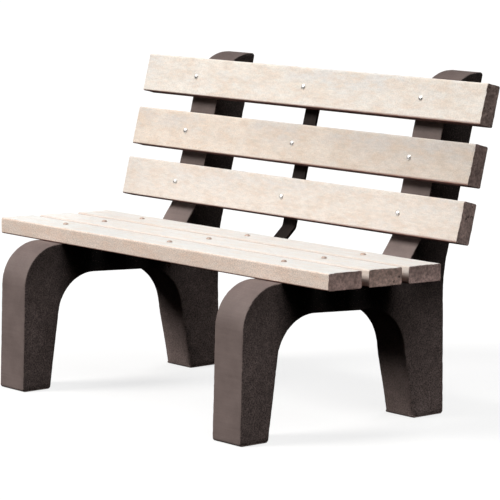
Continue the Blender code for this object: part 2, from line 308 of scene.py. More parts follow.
def plate_mesh(outline, thickness, arris, segments):
    """A YZ outline as a plate of this thickness, centred on X = 0, its long edges rounded."""
    curve = bpy.data.curves.new("outline", "CURVE")
    curve.dimensions = "2D"
    curve.fill_mode = "BOTH"
    curve.extrude = thickness / 2
    spline = curve.splines.new("POLY")
    spline.points.add(len(outline) - 1)
    for point, (y, z) in zip(spline.points, outline):
        point.co = (y, z, 0.0, 1.0)
    spline.use_cyclic_u = True
    mesh = evaluated_mesh(linked("outline", curve))
    bm = bmesh.new()
    bm.from_mesh(mesh)
    bmesh.ops.remove_doubles(bm, verts=bm.verts, dist=WELD_DISTANCE)
    bmesh.ops.dissolve_limit(
        bm, angle_limit=FLAT_ANGLE, verts=bm.verts, edges=bm.edges, delimit={"NORMAL"}
    )
    bmesh.ops.recalc_face_normals(bm, faces=bm.faces)
    for vert in bm.verts:
        vert.co = vert.co.zxy
    bm.to_mesh(mesh)
    bm.free()
    obj = linked("plate", mesh)
    bevel = obj.modifiers.new("Arris", "BEVEL")
    bevel.width = arris
    bevel.segments = segments
    bevel.limit_method = "ANGLE"
    bevel.angle_limit = ARRIS_ANGLE
    return evaluated_mesh(obj)


def diced(mesh, cell):
    """Cuts a mesh along evenly spaced planes, so that it can be shaped between its corners."""
    bm = bmesh.new()
    bm.from_mesh(mesh)
    for axis in range(3):
        low = min(v.co[axis] for v in bm.verts)
        high = max(v.co[axis] for v in bm.verts)
        count = max(1, round((high - low) / cell))
        normal = Vector([1.0 if i == axis else 0.0 for i in range(3)])
        for step in range(1, count):
            bmesh.ops.bisect_plane(
                bm,
                geom=[*bm.verts, *bm.edges, *bm.faces],
                dist=WELD_DISTANCE / 10,
                plane_co=normal * (low + (high - low) * step / count),
                plane_no=normal,
            )
    return mesh_from_bmesh("diced", bm)


def wave(point, size, seed):
    """Smooth noise of about -1 to 1 that changes over this size."""
    return noise.noise(point / size + Vector((seed * 7.31, seed * 3.17, seed * 5.79)))


def waves(kind, point, seed):
    """The height of one kind of wave at a point, in millimetres."""
    height, size = kind
    return height * wave(point, size, seed)


def pushed(mesh, amount):
    """A copy of the mesh, each vertex moved along its normal by amount(point, normal)."""
    copy = mesh.copy()
    moved = [v.co + v.normal * amount(v.co, v.normal) for v in copy.vertices]
    for vert, point in zip(copy.vertices, moved):
        vert.co = point
    return copy


def ramp(value, low, high):
    share = min(1.0, max(0.0, (value - low) / (high - low)))
    return share * share * (3 - 2 * share)


# ---------------------------------------------------------------- bolt holes


def neck_radius(angle):
    half = NECK_SIDE / 2
    return half / max(abs(math.cos(angle)), abs(math.sin(angle)))


def pocket_radius(angle):
    return neck_radius(angle) + POCKET_GAP


def slat_hole():
    """The hole through a slat, along Z from its show face at z = 0, with the square pocket."""
    rings = [
        (0, OVERRUN),
        (pocket_radius, OVERRUN),
        (pocket_radius, -NECK_DEPTH - GAP),
        (HOLE_RADIUS, -NECK_DEPTH - GAP),
        (HOLE_RADIUS, -SLAT_THICKNESS - OVERRUN),
        (0, -SLAT_THICKNESS - OVERRUN),
    ]
    return rings_mesh("slat_hole", rings)


def frame_hole():
    start = -SLAT_THICKNESS + OVERRUN
    shoulder = -SLAT_THICKNESS - GAP - FRAME_GRIP
    end = shoulder - RECESS_LENGTH
    rings = [
        (0, start),
        (HOLE_RADIUS, start),
        (HOLE_RADIUS, shoulder),
        (RECESS_RADIUS, shoulder),
        (RECESS_RADIUS, end),
        (0, end),
    ]
    return rings_mesh("frame_hole", rings)


def brace_hole():
    start = -SLAT_THICKNESS + OVERRUN
    end = -SLAT_THICKNESS - GAP - BRACE_THICKNESS - OVERRUN
    return rings_mesh("brace_hole", [(0, start), (HOLE_RADIUS, start), (HOLE_RADIUS, end), (0, end)])


# ---------------------------------------------------------------- places

BACK_ROWS = ("top", "middle", "bottom")
SEAT_ROWS = ("front", "middle", "rear")
SLATS = [("back", row) for row in BACK_ROWS] + [("seat", row) for row in SEAT_ROWS]


def slat_place(part, row):
    """Where a slat's own frame lies: X along it, Z up its width, -Y out of its show face."""
    turn = -BACK_LEAN if part == "back" else -math.pi / 2 - SEAT_TILT
    return Matrix.Translation(middle(f"{part}_slat_{row}")) @ Matrix.Rotation(turn, 4, "X")


def bolt_place(part, row, column):
    """A bolt's own frame: Z out of the show face along the bolt, the origin on that face."""
    on_face = Matrix.Translation((BOLT_COLUMNS[column], -SLAT_THICKNESS / 2, 0.0))
    return slat_place(part, row) @ on_face @ Matrix.Rotation(math.pi / 2, 4, "X")


def drilled(mesh, hole, column, offset_x):
    """The mesh with this hole at all six bolts of a column, the mesh's middle lying at offset_x."""
    tools = []
    for part, row in SLATS:
        tool = hole.copy()
        tool.transform(Matrix.Translation((-offset_x, 0.0, 0.0)) @ bolt_place(part, row, column))
        tools.append(tool)
    return combined(mesh, joined(tools), "DIFFERENCE")


# ---------------------------------------------------------------- slats


def lattice(half, radius, steps, cell):
    """Positions from -half to half, closer within the rounded corners."""
    corner = [
        half - radius + radius * math.tan(math.pi / 4 * step / steps) for step in range(steps + 1)
    ]
    flat = 2 * (half - radius)
    count = max(1, round(flat / cell))
    inner = [-flat / 2 + flat * step / count for step in range(1, count)]
    return [-value for value in reversed(corner)] + inner + corner


def rounded_section(y, z):
    """Moves a point of the square section so that its corners become round."""
    inner_y = max(-SLAT_THICKNESS / 2 + SLAT_EDGE_RADIUS, min(SLAT_THICKNESS / 2 - SLAT_EDGE_RADIUS, y))
    inner_z = max(-SLAT_WIDTH / 2 + SLAT_EDGE_RADIUS, min(SLAT_WIDTH / 2 - SLAT_EDGE_RADIUS, z))
    u, v = y - inner_y, z - inner_z
    reach = math.hypot(u, v)
    if u == 0.0 or v == 0.0 or reach == 0.0:
        return y, z
    share = max(abs(u), abs(v)) / reach
    return inner_y + u * share, inner_z + v * share


def slat_block():
    """A drilled slat with rounded long edges and chamfered sawn ends, as an even lattice."""
    ys = lattice(SLAT_THICKNESS / 2, SLAT_EDGE_RADIUS, SLAT_CORNER_STEPS, SLAT_CELL)
    zs = lattice(SLAT_WIDTH / 2, SLAT_EDGE_RADIUS, SLAT_CORNER_STEPS, SLAT_CELL)
    end = SLAT_LENGTH / 2
    count = round(2 * (end - SLAT_END_CHAMFER) / SLAT_STATION)
    first = -end + SLAT_END_CHAMFER
    xs = [-end] + [first - 2 * first * step / count for step in range(count + 1)] + [end]
    last = (len(xs) - 1, len(ys) - 1, len(zs) - 1)
    bm = bmesh.new()
    found = {}

    def vert(i, j, k):
        if (i, j, k) not in found:
            y, z = rounded_section(ys[j], zs[k])
            if i in (0, last[0]):
                y *= 1 - 2 * SLAT_END_CHAMFER / SLAT_THICKNESS
                z *= 1 - 2 * SLAT_END_CHAMFER / SLAT_WIDTH
            found[i, j, k] = bm.verts.new((xs[i], y, z))
        return found[i, j, k]

    def sheet(rows, columns, place):
        for a in range(rows):
            for b in range(columns):
                corners = [(a, b), (a + 1, b), (a + 1, b + 1), (a, b + 1)]
                bm.faces.new([vert(*place(p, q)) for p, q in corners])

    for side in (0, last[0]):
        sheet(last[1], last[2], lambda p, q: (side, p, q))
    for side in (0, last[1]):
        sheet(last[0], last[2], lambda p, q: (p, side, q))
    for side in (0, last[2]):
        sheet(last[0], last[1], lambda p, q: (p, q, side))
    bmesh.ops.recalc_face_normals(bm, faces=bm.faces)
    mesh = mesh_from_bmesh("slat", bm)
    tools = []
    for x in BOLT_COLUMNS.values():
        tool = slat_hole()
        on_face = Matrix.Translation((x, -SLAT_THICKNESS / 2, 0.0))
        tool.transform(on_face @ Matrix.Rotation(math.pi / 2, 4, "X"))
        tools.append(tool)
    return combined(mesh, joined(tools), "DIFFERENCE")


def slat_surface(seed):
    """How far a slat's skin lies off true: slow waves, a light ripple, and a rougher sawn end."""

    def amount(point, normal):
        from_bolt = min(math.hypot(point.x - x, point.z) for x in BOLT_COLUMNS.values())
        free = ramp(from_bolt, *TRUE_AT_BOLTS)
        long_point = Vector((point.x * SLAT_STRETCH, point.y, point.z))
        skin = waves(SLAT_WAVES, long_point, seed) + waves(SLAT_RIPPLE, long_point, seed + 1)
        sawn = ramp(abs(point.x), SLAT_LENGTH / 2 - SAWN_LENGTH, SLAT_LENGTH / 2)
        skin += sawn * waves(SAWN_WAVES, point, seed + 5)
        if abs(normal.x) < END_FACING:
            return skin * MM * free
        cut = waves(CUT_WAVES, point, seed + 2) + waves(CUT_RIPPLE, point, seed + 3)
        pit = ramp(wave(point, PIT_SIZE, seed + 4), *PIT_LEVELS)
        return (cut - PIT_DEPTH * pit) * MM

    return amount


# ---------------------------------------------------------------- end frames


def seat_z(y):
    return SEAT_FRONT[1] - math.tan(SEAT_TILT) * (y - SEAT_FRONT[0])


def post_y(z):
    return POST_REFERENCE[0] + math.tan(BACK_LEAN) * (z - POST_REFERENCE[1])


def meets_seat(foot_y, slope, drop=0.0):
    """Where the line y = foot_y + slope * z meets the seat surface, lowered by drop."""
    z = (seat_z(foot_y) - drop) / (1 + math.tan(SEAT_TILT) * slope)
    return foot_y + slope * z, z


def frame_outline():
    lean = math.tan(BACK_LEAN)
    post_depth_y = POST_DEPTH / math.cos(BACK_LEAN)
    hip_z = (REAR_LEG_Y - post_depth_y - post_y(0.0)) / lean
    return filleted(
        [
            (FRONT_Y, 0.0, FOOT_RADIUS),
            (*meets_seat(FRONT_Y, FRONT_LEG_SLOPE), KNEE_RADIUS),
            (GUSSET_FOOT_Y, seat_z(GUSSET_FOOT_Y), GUSSET_RADIUS),
            (post_y(GUSSET_TOP_Z), GUSSET_TOP_Z, GUSSET_RADIUS),
            (post_y(HEIGHT), HEIGHT, TOP_FRONT_RADIUS),
            (post_y(HEIGHT) + post_depth_y, HEIGHT, TOP_REAR_RADIUS),
            (REAR_LEG_Y, hip_z, HIP_RADIUS),
            (REAR_LEG_Y, 0.0, FOOT_RADIUS),
            (ARCH_REAR_FOOT_Y, 0.0, FOOT_RADIUS),
            (*meets_seat(ARCH_REAR_FOOT_Y, -ARCH_REAR_SLOPE, BEAM_DEPTH_REAR), ARCH_REAR_RADIUS),
            (*meets_seat(ARCH_FRONT_FOOT_Y, ARCH_FRONT_SLOPE, BEAM_DEPTH_FRONT), ARCH_FRONT_RADIUS),
            (ARCH_FRONT_FOOT_Y, 0.0, FOOT_RADIUS),
        ]
    )


def frame_block(column):
    mesh = plate_mesh(frame_outline(), FRAME_THICKNESS, FRAME_ARRIS, FRAME_ARRIS_STEPS)
    mesh = drilled(mesh, frame_hole(), column, BOLT_COLUMNS[column])
    return diced(mesh, FRAME_CELL)


def rear_foot_wear(point, normal):
    """How deep a rear foot's inner front edges are worn round at this point of the skin."""
    radius = REAR_FOOT_WEAR * (1 - ramp(point.z, 0.0, REAR_FOOT_WEAR_TOP))
    from_side = FRAME_THICKNESS / 2 - abs(point.x)
    from_front = point.y - ARCH_REAR_FOOT_Y + ARCH_REAR_SLOPE * point.z
    if from_front < -OVERRUN or radius == 0.0:
        return 0.0
    reach = math.hypot(max(0.0, radius - from_side), max(0.0, radius - max(0.0, from_front)))
    return max(0.0, reach - radius) * (1 - normal.z**2)


def frame_surface(seed):
    """Slow sinks of a moulding, a light ripple, small nibbles along the arris, and worn feet."""

    def amount(point, normal):
        from_slats = min(abs(point.y - post_y(point.z)), abs(point.z - seat_z(point.y)))
        bearing = normal.x**2 < SIDE_FACING and from_slats < BEARING_DEPTH
        from_ground = ramp(point.z, *TRUE_AT_GROUND)
        slow = waves(FRAME_WAVES, point, seed) + waves(FRAME_RIPPLE, point, seed + 1)
        arris = 4 * normal.x**2 * (1 - normal.x**2)
        nibble = arris * min(0.0, waves(NIBBLES, point, seed + 2))
        nibble -= FOOT_TURN * normal.x**2 * (1 - ramp(point.z, -FOOT_TURN_HEIGHT, FOOT_TURN_HEIGHT))
        sink = 0.0 if bearing else slow * MM * from_ground
        return sink + nibble * MM - rear_foot_wear(point, normal)

    return amount


# ---------------------------------------------------------------- centre brace


def brace_outline():
    face = [
        (post_y(BRACE_TOP_Z), BRACE_TOP_Z),
        (post_y(BRACE_UPPER_BEND_Z), BRACE_UPPER_BEND_Z),
        (BRACE_LOWER_BEND_Y, seat_z(BRACE_LOWER_BEND_Y)),
        (BRACE_FRONT_Y, seat_z(BRACE_FRONT_Y)),
    ]
    legs = [(Vector(b) - Vector(a)).normalized() for a, b in zip(face, face[1:])]
    outward = [Vector((-leg.y, leg.x)) for leg in legs]
    far_side = [Vector(face[0]) + outward[0] * BRACE_THICKNESS]
    for corner, one, two in zip(face[1:3], outward, outward[1:]):
        mitre = (one + two).normalized()
        far_side.append(Vector(corner) + mitre * BRACE_THICKNESS / mitre.dot(one))
    far_side.append(Vector(face[3]) + outward[2] * BRACE_THICKNESS)
    bend, outer = BRACE_BEND_RADIUS, BRACE_BEND_RADIUS + BRACE_THICKNESS
    corners = [(*point, radius) for point, radius in zip(face, (0.0, bend, bend, 0.0))]
    corners += [(*point, radius) for point, radius in zip(reversed(far_side), (0.0, outer, outer, 0.0))]
    return filleted(corners)


def brace_block():
    mesh = plate_mesh(brace_outline(), BRACE_WIDTH, BRACE_ARRIS, BRACE_ARRIS_STEPS)
    mesh = drilled(mesh, brace_hole(), "centre", 0.0)
    return diced(mesh, BRACE_CELL)


def on_brace_ramp(point):
    """Whether a point lies between the seat and the back, where no slat bears on the brace."""
    low, high = seat_z(BRACE_LOWER_BEND_Y), BRACE_UPPER_BEND_Z
    return low + BRACE_CLEARANCE < point.z < high + BRACE_CLEARANCE


def brace_surface(point, normal):
    if normal.x**2 < SIDE_FACING and not on_brace_ramp(point):
        return 0.0
    return waves(BRACE_WAVES, point, BRACE_SEED) * MM


# ---------------------------------------------------------------- bolts and nuts


def bolt_block(length):
    """A domed head on z = 0, its square neck, a plain shank and a rolled thread with a chamfered tip."""
    rings = [(0, HEAD_HEIGHT + GAP)]
    for step in range(1, DOME_STEPS + 1):
        angle = step * math.pi / 2 / DOME_STEPS
        height = HEAD_RIM + (HEAD_HEIGHT - HEAD_RIM) * math.cos(angle) + GAP
        rings.append((HEAD_RADIUS * math.sin(angle), height))
    rings += [
        (HEAD_RADIUS, GAP + RIM_CHAMFER),
        (HEAD_RADIUS - RIM_CHAMFER, GAP),
        (neck_radius, GAP),
        (neck_radius, -NECK_DEPTH + NECK_TAPER),
        (SHANK_RADIUS, -NECK_DEPTH),
    ]
    start, tip = -length + THREAD_LENGTH, -length + TIP_LENGTH
    rings.append((SHANK_RADIUS, start))
    count = round((start - tip) / THREAD_PITCH * THREAD_STEPS)

    def thread(depth, turns):
        def radius(angle):
            phase = (turns - angle / (2 * math.pi)) % 1.0
            return SHANK_RADIUS - depth * (1 - abs(2 * phase - 1))

        return radius

    for step in range(1, count + 1):
        depth = THREAD_DEPTH * min(1.0, step / THREAD_STEPS)
        rings.append((thread(depth, step / THREAD_STEPS), start + (tip - start) * step / count))
    rings += [(SHANK_RADIUS - TIP_CHAMFER, -length), (0, -length)]
    return smooth(rings_mesh("bolt", rings), BOLT_SMOOTH_ANGLE)


def hexagon(limit):
    """The radius of the nut's hexagon at an angle, cut back to this limit."""

    def radius(angle):
        within = (angle + math.pi / 6) % (math.pi / 3) - math.pi / 6
        return min(limit, NUT_ACROSS_FLATS / 2 / math.cos(within))

    return radius


def nut_block():
    """A flange nut bearing on z = 0, its chamfered hexagon below, and a bore with lead-in chamfers."""
    corner = NUT_ACROSS_FLATS / math.sqrt(3)
    bore = SHANK_RADIUS + GAP
    rings = [
        (bore, -BORE_CHAMFER),
        (bore + BORE_CHAMFER, 0.0),
        (NUT_FLANGE_RADIUS - 0.2 * MM, 0.0),
        (NUT_FLANGE_RADIUS, -0.2 * MM),
        (NUT_FLANGE_RADIUS, -0.7 * MM),
        (NUT_FLANGE_RADIUS - 0.4 * MM, -1.0 * MM),
        (corner + 0.2 * MM, -NUT_FLANGE_HEIGHT),
        (hexagon(corner), -NUT_FLANGE_HEIGHT - 0.2 * MM),
        (hexagon(corner), -NUT_HEIGHT + 0.5 * MM),
        (hexagon(corner - 0.25 * MM), -NUT_HEIGHT + 0.25 * MM),
        (hexagon(corner - 0.6 * MM), -NUT_HEIGHT),
        (bore + BORE_CHAMFER, -NUT_HEIGHT),
        (bore, -NUT_HEIGHT + BORE_CHAMFER),
    ]
    return smooth(rings_mesh("nut", rings, closed=True, steps=NUT_STEPS), NUT_SMOOTH_ANGLE)


# ---------------------------------------------------------------- looks

# Noise layers: cycles per metre along X, Y and Z, detail and roughness.
SLAT_LAYERS = {
    "clouds": ((5.0, 15.0, 15.0), 4.0, 0.60),
    "patch": ((13.0, 34.0, 34.0), 5.0, 0.62),
    "blotch": ((38.0, 140.0, 140.0), 4.0, 0.65),
    "tint": ((50.0, 170.0, 170.0), 4.0, 0.65),
    "fleck": ((330.0, 330.0, 330.0), 3.0, 0.65),
    "grit": ((1100.0, 1100.0, 1100.0), 2.0, 0.60),
    "core_mottle": ((180.0, 170.0, 170.0), 4.0, 0.60),
    "core_patch": ((50.0, 50.0, 50.0), 3.0, 0.55),
}
PIT_CELLS = (300.0, 300.0, 300.0)
VOIDS = (70.0, 70.0, 70.0)

# Each slat's brightness at its left and right end, painted shade that darkens it towards the right, and its
# pale, warm and cool skin.
SLAT_SKINS = {
    ("back", "top"): ((1.04, 0.955), (0.825, 0.78, 0.72), (0.77, 0.69, 0.61), (0.755, 0.735, 0.71)),
    ("back", "middle"): ((1.11, 0.84), (0.73, 0.655, 0.58), (0.675, 0.58, 0.495), (0.645, 0.60, 0.56)),
    ("back", "bottom"): ((1.01, 0.96), (0.745, 0.69, 0.635), (0.705, 0.625, 0.555), (0.71, 0.675, 0.64)),
    # Painted light: the seat slats' skins are paler and cooler than the back slats' to light the seat's
    # top. Painted shade: the rear seat slat's skin is darker.
    ("seat", "front"): ((1.0, 1.0), (0.825, 0.84, 0.83), (0.805, 0.78, 0.745), (0.805, 0.815, 0.81)),
    ("seat", "middle"): ((1.0, 0.97), (0.825, 0.83, 0.82), (0.805, 0.775, 0.735), (0.805, 0.805, 0.80)),
    ("seat", "rear"): ((1.0, 0.96), (0.775, 0.775, 0.76), (0.76, 0.725, 0.69), (0.76, 0.76, 0.75)),
}
ROSY = (1.015, 0.975, 0.95)
BLUISH = (0.995, 1.002, 1.008)
SKIN_CONTRAST = {"back": 1.35, "seat": 0.8}
SLAT_SPECULAR = 0.35

# The pale and the dark of each slat's sawn ends.
SLAT_ENDS = {
    ("back", "top"): ((0.50, 0.37, 0.325), (0.275, 0.198, 0.175)),
    ("back", "middle"): ((0.47, 0.34, 0.30), (0.255, 0.18, 0.165)),
    ("back", "bottom"): ((0.66, 0.48, 0.43), (0.36, 0.265, 0.24)),
    ("seat", "front"): ((0.78, 0.55, 0.49), (0.47, 0.32, 0.29)),
    ("seat", "middle"): ((0.90, 0.64, 0.555), (0.53, 0.375, 0.325)),
    ("seat", "rear"): ((0.78, 0.56, 0.505), (0.46, 0.32, 0.295)),
}
RIM = 2.5 * MM  # of darker colour around a sawn end
RIM_SHADES = (0.55, 0.60)  # at the narrow and at the wide faces

PAINTED_SHADE_HEIGHT = (3.5 * MM, 7 * MM)  # of the painted shade along a back slat's lower edge, at its left and right end
# Painted shade: a reddish-brown band along each slat's lower arris, and a near-black one where it turns
# under.
LOWER_ARRIS_SHADE = (0.25, 0.100, 0.075)
UNDERSIDE_SHADE = (0.052, 0.012, 0.009)
# Painted shade: the front slat's front face is darker and warmer than the seat's top.
SEAT_FRONT_SHADE_TINT = (0.955, 0.805, 0.72)
# Painted shade on the seat slats' faces towards a gap: a tint, and a darker brown deeper down the gap.
GAP_SHADE_TINT = (0.93, 0.855, 0.815)
GAP_SHADOW = (0.30, 0.195, 0.165)
GAP_SIDES = {"front": (1.0,), "middle": (-1.0, 1.0), "rear": (-1.0,)}

FRAME_LAYERS = {
    "streak": ((9.0, 210.0, 210.0), 3.0, 0.60),
    "patch": ((14.0, 14.0, 14.0), 3.0, 0.55),
    "grain": ((300.0, 300.0, 300.0), 3.0, 0.70),
    "mottle": ((170.0, 170.0, 170.0), 3.0, 0.60),
}
FLECK_CELLS = (190.0, 190.0, 190.0)
BLOTCHES = (46.0, 46.0, 46.0)
FRAME_BODY = (0.186, 0.143, 0.134)
FRAME_DARK = (0.150, 0.114, 0.106)
FRAME_FLECK = (0.30, 0.23, 0.21)
FLECK_SHARE = 0.55
WORN_SHARE = 0.45
FRAME_SPECULAR = 0.30
# Painted light and shade on the frames: paler where they stand free, darker where the slats shade them.
# Each change runs from one place to another, in metres of height or of distance back. The shades and gains
# for them come after.
SIDE_SHADING_SPAN = (0.16, 0.38)
REAR_SHADING_SPAN = (0.0, 0.2)
REAR_LEG_SHADING_SPAN = (0.0, 0.18)
POST_SHADING_SPAN = (0.36, 0.46)
BEAM_STARTS = (-0.23, -0.17)
BEAM_ENDS = (0.03, 0.12)
BEAM_HEIGHT = (0.21, 0.29)
# The arch's two spans bound a coarser grain on its narrow faces, not painted light.
ARCH_STARTS = (0.0, 0.06)
ARCH_TOP = (0.28, 0.34)
SIDE_SHADES = (1.12, 0.38)  # painted light below and painted shade above the side span
POST_SHADE = 0.77
POST_SIDE_SHADE = 1.16
REAR_GAIN = 0.27
BEAM_LOSS = -0.85
# Each frame's side tone, and the gain of its rear leg's side at the foot and above. The left frame's darker
# tone is painted shade;
# the gains paint light at the foot, and on the right frame shade higher up.
SIDE_TONES = {"left": 0.80, "right": 1.0}
REAR_LEG_GAINS = {"left": (0.30, 0.06), "right": (0.06, -0.28)}

BRACE_LAYERS = {
    "lines": ((620.0, 9.0, 9.0), 3.0, 0.60),
    "patch": ((40.0, 24.0, 24.0), 3.0, 0.55),
    "grain": ((500.0, 500.0, 500.0), 2.0, 0.60),
    "nicks": ((240.0, 240.0, 240.0), 3.0, 0.60),
}
BRACE_LAYER_SEED = 3
BRACE_DARK = (0.011, 0.0076, 0.0067)
BRACE_PALE = (0.018, 0.0125, 0.0111)
BRACE_RUST = (0.16, 0.062, 0.030)
RUST_SHARE = 0.6
BRACE_SPECULAR = 0.12

BOLT_LAYERS = {
    "film": ((260.0, 260.0, 260.0), 3.0, 0.60),
    "fine": ((1900.0, 1900.0, 1900.0), 2.0, 0.60),
}
BOLT_SEEDS = {"back": 8, "seat": 18}
# How bare the steel is, its clean and its dull colour, and its least and greatest roughness. The seat
# bolts' brown steel is a painted dark reflection.
BOLT_LOOKS = {
    "back": (1.0, (0.95, 0.955, 0.96), (0.86, 0.84, 0.82), 0.34, 0.48),
    "seat": (0.25, (0.66, 0.52, 0.45), (0.36, 0.24, 0.19), 0.50, 0.66),
}

# ---------------------------------------------------------------- materials


class Paint:
    """A node material with short names for the nodes it uses."""

    def __init__(self, name):
        self.material = bpy.data.materials.new(name)
        self.material.use_nodes = True
        self.tree = self.material.node_tree
        self.shader = self.tree.nodes["Principled BSDF"]

    def node(self, kind, **settings):
        made = self.tree.nodes.new("ShaderNode" + kind)
        for key, value in settings.items():
            setattr(made, key, value)
        return made

    def feed(self, socket, value):
        if isinstance(value, bpy.types.NodeSocket):
            self.tree.links.new(value, socket)
        else:
            socket.default_value = value

    def math(self, operation, a, b=0.0, clamp=False):
        made = self.node("Math", operation=operation, use_clamp=clamp)
        self.feed(made.inputs[0], a)
        self.feed(made.inputs[1], b)
        return made.outputs[0]

    def coordinates(self, scale, seed):
        """Object coordinates, scaled per axis in cycles per metre and shifted by the seed."""
        mapping = self.node("Mapping")
        mapping.inputs["Location"].default_value = (seed * 3.7, seed * 1.9, seed * 2.3)
        mapping.inputs["Scale"].default_value = scale
        self.feed(mapping.inputs["Vector"], self.node("TexCoord").outputs["Object"])
        return mapping.outputs["Vector"]

    def noise(self, scale, seed, detail=2.0, roughness=0.5):
        made = self.node("TexNoise")
        made.inputs["Scale"].default_value = 1.0
        made.inputs["Detail"].default_value = detail
        made.inputs["Roughness"].default_value = roughness
        self.feed(made.inputs["Vector"], self.coordinates(scale, seed))
        return made.outputs["Fac"]

    def cells(self, scale, seed):
        """Distance to the nearest of scattered points."""
        made = self.node("TexVoronoi")
        made.inputs["Scale"].default_value = 1.0
        self.feed(made.inputs["Vector"], self.coordinates(scale, seed))
        return made.outputs["Distance"]

    def span(self, value, low, high, to_low=0.0, to_high=1.0):
        made = self.node("MapRange", interpolation_type="SMOOTHSTEP")
        self.feed(made.inputs["Value"], value)
        for key, number in (("From Min", low), ("From Max", high), ("To Min", to_low), ("To Max", to_high)):
            made.inputs[key].default_value = number
        return made.outputs["Result"]

    def mix(self, share, one, two, blend="MIX"):
        made = self.node("Mix", data_type="RGBA", blend_type=blend)
        self.feed(made.inputs[0], share)
        self.feed(made.inputs[6], (*one, 1.0) if isinstance(one, tuple) else one)
        self.feed(made.inputs[7], (*two, 1.0) if isinstance(two, tuple) else two)
        return made.outputs[2]

    def blend(self, share, one, two):
        """A number between two numbers, each from a socket."""
        made = self.node("Mix", data_type="FLOAT")
        for index, value in zip((0, 2, 3), (share, one, two)):
            self.feed(made.inputs[index], value)
        return made.outputs[0]

    def shade(self, colour, *factors):
        """The colour multiplied by numbers from sockets."""
        for factor in factors:
            made = self.node("VectorMath", operation="SCALE")
            self.feed(made.inputs[0], colour)
            self.feed(made.inputs["Scale"], factor)
            colour = made.outputs[0]
        return colour

    def times(self, first, *factors):
        """The product of numbers from sockets."""
        for factor in factors:
            first = self.math("MULTIPLY", first, factor)
        return first

    def layers(self, table, seed):
        """A noise socket for each (scale, detail, roughness) of a table, by its name."""
        return {
            name: self.noise(scale, seed + index, detail, roughness)
            for index, (name, (scale, detail, roughness)) in enumerate(table.items())
        }

    def part_of(self, vector, axis):
        split = self.node("SeparateXYZ")
        self.feed(split.inputs[0], vector)
        return split.outputs[axis]

    def local(self, axis):
        return self.part_of(self.node("TexCoord").outputs["Object"], axis)

    def local_normal(self, axis):
        return self.part_of(self.node("TexCoord").outputs["Normal"], axis)

    def bump(self, *layers):
        """Bump nodes in a chain, from (height socket, distance in metres) layers."""
        normal = None
        for height, distance in layers:
            made = self.node("Bump")
            made.inputs["Strength"].default_value = 1.0
            made.inputs["Distance"].default_value = distance
            self.feed(made.inputs["Height"], height)
            if normal:
                self.feed(made.inputs["Normal"], normal)
            normal = made.outputs["Normal"]
        self.feed(self.shader.inputs["Normal"], normal)

    def finish(self, colour, roughness):
        self.feed(self.shader.inputs["Base Color"], colour)
        self.feed(self.shader.inputs["Roughness"], roughness)
        return self.material


def slat_skin(paint, layer, part, row):
    """A slat's moulded faces: clouds, patches and a close mottle, with painted shade darkening it along the
    slat.
    """
    end_shades, pale, warm, cool = SLAT_SKINS[part, row]
    contrast = SKIN_CONTRAST[part]
    high = paint.span(paint.local(2), -SLAT_WIDTH * 0.35, SLAT_WIDTH * 0.45)
    cloudy = paint.span(layer["clouds"], 0.40, 0.60)
    cooler = paint.math("MULTIPLY", cloudy, paint.math("ADD", high, 0.15), True)
    skin = paint.mix(cooler, pale, cool)
    skin = paint.mix(paint.span(layer["patch"], 0.42, 0.66), skin, warm)
    tint = paint.mix(paint.span(layer["tint"], 0.32, 0.68), ROSY, BLUISH)
    return paint.shade(
        paint.mix(1.0, skin, tint, "MULTIPLY"),
        paint.span(paint.local(0), -SLAT_LENGTH / 2, SLAT_LENGTH / 2, *end_shades),
        paint.span(layer["blotch"], 0.28, 0.72, 1 - 0.06 * contrast, 1 + 0.04 * contrast),
        paint.span(layer["fleck"], 0.28, 0.72, 1 - 0.08 * contrast, 1 + 0.06 * contrast),
        paint.span(layer["grit"], 0.25, 0.75, 0.95, 1.04),
    )


def seat_skin(paint, layer, skin, row):
    """A seat slat's skin: on the front slat a front edge painted darker and warmer as shade, with a
    stronger mottle, and painted shadow in its gaps.
    """
    across = paint.local_normal(2)
    if row == "front":
        edge = paint.span(paint.math("MULTIPLY", across, -1.0), 0.15, 0.75)
        wear_and_edge_shade = paint.mix(1.0, skin, SEAT_FRONT_SHADE_TINT, "MULTIPLY")
        wear_and_edge_shade = paint.shade(wear_and_edge_shade, paint.span(layer["fleck"], 0.30, 0.70, 0.86, 1.12))
        skin = paint.mix(edge, skin, wear_and_edge_shade)
    depth = paint.span(paint.local(1), -SLAT_THICKNESS * 0.30, SLAT_THICKNESS * 0.36)
    # Painted shade and shadow on the faces towards a gap, darker deeper down.
    for side in GAP_SIDES[row]:
        facing = paint.span(paint.math("MULTIPLY", across, side), 0.05, 0.55)
        skin = paint.mix(facing, skin, paint.mix(1.0, skin, GAP_SHADE_TINT, "MULTIPLY"))
        skin = paint.mix(paint.math("MULTIPLY", facing, depth), skin, GAP_SHADOW)
    return skin


def with_painted_shade(paint, layer, skin, part):
    """The skin with painted shade: a reddish-brown band along the lower arris and a near-black one where it
    turns under.
    """
    if part == "seat":
        under = paint.local_normal(1)
        arris_shade = paint.span(under, 0.05, 0.50)
    else:
        under = paint.math("MULTIPLY", paint.local_normal(2), -1.0)
        margin = paint.span(paint.local(0), -SLAT_LENGTH / 2, SLAT_LENGTH / 2, *PAINTED_SHADE_HEIGHT)
        above_edge = paint.math("ADD", paint.local(2), SLAT_WIDTH / 2)
        arris_shade = paint.span(paint.math("DIVIDE", above_edge, margin), 0.10, 1.0, 1.0, 0.0)
    uneven = paint.span(layer["blotch"], 0.30, 0.62, 0.72, 1.0)
    skin = paint.mix(paint.math("MULTIPLY", arris_shade, uneven), skin, LOWER_ARRIS_SHADE)
    uneven = paint.span(layer["blotch"], 0.30, 0.62, 0.86, 1.0)
    return paint.mix(paint.math("MULTIPLY", paint.span(under, 0.50, 0.90), uneven), skin, UNDERSIDE_SHADE)


